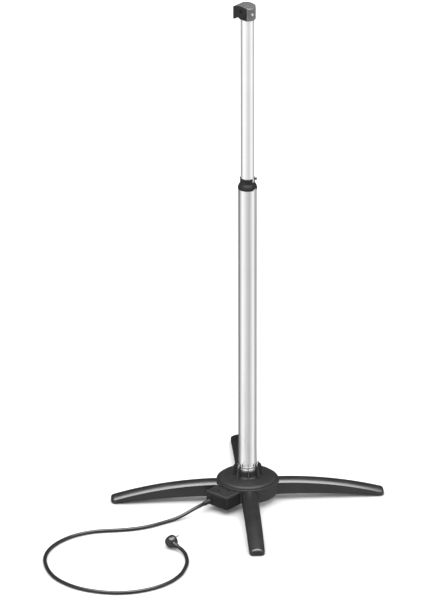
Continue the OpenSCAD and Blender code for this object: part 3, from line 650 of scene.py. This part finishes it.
def cap_ring(r):
    half = [math.acos(14.2 / r) * t / 14 for t in range(1, 15)]
    ring = [(-r * math.cos(a), r * math.sin(a)) for a in half]
    return ring + [(x, -y) for x, y in reversed(ring)] + [(-r, 0.0)]


head = Shape()
head.add(slab(arc(0, 0, 24, -61, 61, 20) + arc(0, 0, 24, 119, 241, 20), 1511, 1513, 0.4, 0.4), HEAD)
# front wall, a segment of the round cap with a crowned top
rings = []
for d, e in ((0.0, None), (0.0, 4.2), (0.15, 3.0), (0.5, 1.95), (1.1, 1.1), (1.9, 0.5), (2.8, 0.12), (3.8, 0.0)):
    rings.append([(x, y, 1512.0 if e is None else crown(x) - e) for x, y in cap_ring(24 - d)])
head.add(loft(rings), HEAD)
# lug inside the bracket
head.add(slab(fillet([(-7, 1511.6, 0), (7, 1511.6, 0), (7, 1532, 0), (-7, 1532, 0)]), -9, 9), HEAD @ move(8, 0, 0) @ rot(90, "X"))
head.add(lathe([(0, -9), (10.4, -9), (11, -8.4), (11, 8.4), (10.4, 9), (0, 9)], 96), PIVOT @ ALONG_Y)
head.add(lathe([(0, 1470), (18, 1470), (18.4, 1470.6), (18.4, 1512.2), (0, 1512.2)], 96), HEAD)
piece("head_cap", head, HEAD_LIT_COPY, "mast", ("head_body",), 38)
corner = [(x, min(21.0, math.sqrt(24.0 ** 2 - x * x))) for x in (3, 0, -3, -5, -7, -9, -10.5, -11.62, -12.5, -13.3, -14.05)]
corner_v, corner_f = [], []
for x, y in corner:
    corner_v += [(x, y, 1513.05), (x, y, crown(x) - 0.5), (x, y - 0.5, crown(x)), (x, 0.5 - y, crown(x)), (x, -y, crown(x) - 0.5), (x, -y, 1513.05)]
for i in range(len(corner) - 1):
    for k in range(6):
        corner_f.append((6 * i + k, 6 * i + 6 + k, 6 * i + 6 + (k + 1) % 6, 6 * i + (k + 1) % 6))
corner_f += [tuple(range(6)), tuple(range(len(corner_v) - 1, len(corner_v) - 7, -1))]
swing = Shape().add(lathe([(0, -40), (22, -40), (22, 40), (0, 40)], 160), PIVOT @ ALONG_Y)
piece("head_corner", Shape().add((corner_v, corner_f), HEAD), KNUCKLE, "mast", ("head_body",), 38, [swing])

side = [(23.5, -20.5, 1.6), (23.5, -28, 1.5), (29, -28, 1.5), (29, 10.16, 1.8)] + [(x, y, 0) for x, y in arc(-3, -52.1, 70, 65.0, 95.8, 24)]
side = fillet(side + [(-11.41, 17.39, 1.0)] + [(x, y, 0) for x, y in arc(0, 0, 20.8, 125.8, 279.6, 44)], 5)
bracket = Shape().add(slab(side, -21, 21.5, 1.4, 1.4, 4), PIVOT @ rot(90, "X"))
cuts = [Shape().add(lathe([(0, -10.3), (12.2, -10.3), (12.2, 10.3), (0, 10.3)], 96), PIVOT @ ALONG_Y)]
fan = [(0.0, 0.0)] + [(45 * math.cos(rad(a)), 45 * math.sin(rad(a))) for a in (-202, -165, -128, -90, -53)]
cuts.insert(0, Shape().add(slab(fan, -10.3, 10.3), PIVOT @ rot(90, "X")))
cuts.append(Shape().add(lathe([(0, 17.4), (7.2, 17.4), (7.2, 40), (0, 40)], 64), PIVOT @ ALONG_Y))
cuts.append(Shape().add(lathe([(0, -40), (7.8, -40), (7.8, -16.4), (0, -16.4)], 64), PIVOT @ ALONG_Y))
holes = Shape()
for a in (45, 135, 225, 315):
    holes.add(lathe([(0, 18), (2.75, 18), (2.75, 40), (0, 40)], 32), PIVOT @ move(0, 13 * math.cos(rad(a)), -11 + 13 * math.sin(rad(a))) @ ALONG_X)
cuts.append(holes)
piece("tilt_knuckle", bracket, KNUCKLE, "bracket", ("tilt_bracket",), 36, cuts)


# ------------------------------------------------------------------ junction box
plan = rounded(105.75, 0, 63.5, 80, 2.4)
entry = Shape().add(lathe([(0, 100), (6.2, 100), (6.2, 160), (0, 160)], 48), BOX @ move(0, -28, 27.5) @ ALONG_X)
piece("box_shell", Shape().add(slab(plan, 17.5, 51.9, 1.2, 0.5, 4, 1.1), BOX), BOXP, "base", ("junction_box",), 40, [entry])
# painted highlight: a thin pale bead round the lid's edge, standing for light caught on that edge
lip = []
for d, z in ((1.7, 58.3), (0.75, 57.6), (0.62, 57.9), (0.62, 58.3), (0.85, 58.6), (1.2, 58.72), (1.7, 58.72), (1.95, 58.66), (2.1, 58.5)):
    lip.append([(x, y, z) for x, y in inset(rounded(105.75, 0, 63.5, 80, 2.6), d)])
piece("lid_lip", Shape().add(hoop(lip), BOX), EDGE_HIGHLIGHT, "base", ("junction_lid",), 60)
lid_holes = Shape()
for u, v in ((96, 10), (116, -10)):
    lid_holes.add(lathe([(0, 57.2), (4.3, 57.2), (4.3, 60), (0, 60)], 48), BOX @ move(u, v, 0))
piece("box_lid", Shape().add(slab(plan, 52.45, 58.6, 0.4, 1.7, 4, 0.6), BOX), LID, "base", ("junction_lid",), 40, [lid_holes])

relief = [(0, 130), (5.9, 130), (5.9, 137.45), (7.7, 137.55), (8.2, 138.1), (8.2, 139.4), (7.8, 140.1), (7.3, 140.5)]
x = 140.5
while x < 161:
    r = 7.4 - 1.3 * (x - 140.5) / 22
    relief += [(r - 0.55, x + 0.5), (r - 0.55, x + 1.1), (r, x + 1.5), (r + 0.05, x + 2.4), (r - 0.1, x + 2.9)]
    x += 3.0
relief += [(6.0, x), (6.0, 162.0), (5.7, 162.45), (0, 162.5)]
boot = piece("box_strain_relief", Shape().add(lathe(relief, 64), BOX @ move(0, -28, 27.5) @ ALONG_X), RUBBER, "base", ("cord_boot",), 40)


# ------------------------------------------------------------------ plug
shell = [(0, -15)] + smooth_line([(6.5, -15), (9.4, -14.75), (12.0, -13.7), (14.2, -11.6), (15.8, -8.4), (17.0, -4.5), (17.9, -0.5), (18.3, 2.0)], 5) + [(18.4, 3.2), (18.4, 5.5), (18.0, 6.0), (0, 6.0)]
plug = Shape().add(lathe(shell, 128), PLUG @ ALONG_X)
elbow = [(0, -2)] + smooth_line([(8.9, -2), (8.9, 6), (8.8, 12), (8.5, 15.5), (8.1, 16.9)], 4) + [(0, 16.95)]
plug.add(lathe(elbow, 96), PLUG @ move(-3, 0, 0) @ rot(90, "X"))
plug_shell = piece("plug_shell", plug, PLUGP, "base", ("plug_body",), 40)

face = Shape().add(lathe([(0, 6.05), (17.6, 6.05), (18.0, 6.4), (18.0, 9.2), (17.7, 9.9), (17.0, 10.4), (15.4, 10.4), (15.2, 10.1), (14.7, 10.1), (14.5, 10.4), (0, 10.4)], 128), PLUG @ ALONG_X)
slots = Shape()
for s in (-1, 1):
    slots.add(slab(rounded(9.5, s * 18.2, 9, 4.0, 0.3, 2), -3.2, 3.2), PLUG)
earth = Shape().add(lathe([(0, 7.5), (2.4, 7.5), (2.4, 12), (0, 12)], 32), PLUG @ move(0, 8.2, 0) @ ALONG_X)
plug_front = piece("plug_front", face, PLUGP, "base", ("plug_face",), 40, [slots, earth])

pins = Shape()
for s in (-1, 1):
    pins.add(lathe([(0, 7), (2.4, 7), (2.4, 27.4)] + [(2.4 * math.cos(rad(t)), 27.4 + 2.2 * math.sin(rad(t))) for t in range(15, 90, 15)] + [(0, 29.6)], 40), PLUG @ move(0, 0, 9.5 * s) @ ALONG_X)
plug_pins = piece("plug_contacts", pins, BRIGHT, "base", ("plug_pins",), 50)

sleeve = [(0, 17.0), (8.5, 17.0)] + smooth_line([(8.6, 17.4), (8.4, 20.0), (7.8, 23.5), (6.9, 27.0), (6.15, 29.3)], 5) + [(5.9, 29.85), (0, 30)]
plug_sleeve = piece("plug_strain_relief", Shape().add(lathe(sleeve, 64), PLUG @ move(-3, 0, 0) @ rot(90, "X")), RUBBER, "base", ("plug_boot",), 40)


# ------------------------------------------------------------------ floor and light
m, nt, s = start("floor")
tint = noise(nt, place(nt), 0.6, 2.0)
pale = ramp(nt, tint, [(0.3, (0.90, 0.90, 0.90)), (0.7, (0.92, 0.92, 0.92))])
# painted shadow: the floor's colour is darkened towards grey by ambient occlusion close to the objects
painted_contact_shadow = nt.nodes.new("ShaderNodeAmbientOcclusion")
painted_contact_shadow.inputs["Distance"].default_value = 0.026
painted_contact_shadow.samples = 8
nt.links.new(mixed(nt, span(nt, painted_contact_shadow.outputs["AO"], 0.25, 0.92, 1.0, 0.0), pale, (0.52, 0.52, 0.52)), s.inputs["Base Color"])
s.inputs["Roughness"].default_value = 0.9
s.inputs["Specular IOR Level"].default_value = 0.0
mesh = bpy.data.meshes.new("floor")
mesh.from_pydata([(-60, -60, 0), (60, -60, 0), (60, 60, 0), (-60, 60, 0)], [], [(0, 1, 2, 3)])
mesh.materials.append(m)
floor = bpy.data.objects.new("floor", mesh)
scene.collection.objects.link(floor)
floor.visible_glossy = False


def softbox(name, at, aim, size, power, gloss=True, fill=True):
    light = bpy.data.lights.new(name, "AREA")
    light.shape = "RECTANGLE"
    light.size, light.size_y = size
    light.energy = power
    ob = bpy.data.objects.new(name, light)
    ob.location = at
    ob.rotation_mode = "QUATERNION"
    ob.rotation_quaternion = (Vector(aim) - Vector(at)).to_track_quat("-Z", "Y")
    ob.visible_camera = False
    ob.visible_glossy, ob.visible_diffuse = gloss, fill
    scene.collection.objects.link(ob)
    return ob


softbox("overhead", (0.0, -0.75, 2.75), (0.0, -0.45, 0.0), (3.4, 2.3), 290.0, True, False)
softbox("overhead_fill", (0.0, -0.75, 2.75), (0.0, -0.45, 0.0), (3.4, 2.3), 52.0, False, True)

world = bpy.data.worlds.new("studio")
scene.world = world
world.use_nodes = True
world.cycles.sampling_method = "NONE"
nt = world.node_tree
nt.nodes.clear()
coords = nt.nodes.new("ShaderNodeTexCoord")
axes = nt.nodes.new("ShaderNodeSeparateXYZ")
nt.links.new(coords.outputs["Generated"], axes.inputs[0])
around = maths(nt, "ARCTAN2", axes.outputs["X"], maths(nt, "MULTIPLY", axes.outputs["Y"], -1.0))
around = span(nt, around, -math.pi, math.pi, 0.0, 1.0)
bands = ((-180, 0.02), (-160, 0.04), (-145, 0.20), (-122, 0.22), (-104, 0.50), (-86, 0.90), (-64, 1.12), (-46, 0.96), (-32, 0.86), (-18, 0.70), (-4, 0.66),
         (10, 0.56), (20, 0.52), (32, 0.62), (46, 0.82), (58, 0.90), (70, 1.15), (84, 0.82), (98, 0.50), (116, 0.42), (138, 0.40), (158, 0.06), (180, 0.02))
strips = ramp(nt, around, [((a + 180) / 360, (v, v, v)) for a, v in bands])
height = span(nt, axes.outputs["Z"], 0.10, 0.45, 0.0, 1.0)
behind = span(nt, axes.outputs["Y"], 0.2, 0.8, 0.42, 0.14)
seen = mixed(nt, height, strips, behind)
path = nt.nodes.new("ShaderNodeLightPath")
colour = mixed(nt, path.outputs["Is Glossy Ray"], (1.60, 1.60, 1.60), seen)
colour = mixed(nt, path.outputs["Is Camera Ray"], colour, (1.0, 1.0, 1.0))
shade = nt.nodes.new("ShaderNodeBackground")
nt.links.new(colour, shade.inputs["Color"])
out = nt.nodes.new("ShaderNodeOutputWorld")
nt.links.new(shade.outputs[0], out.inputs["Surface"])
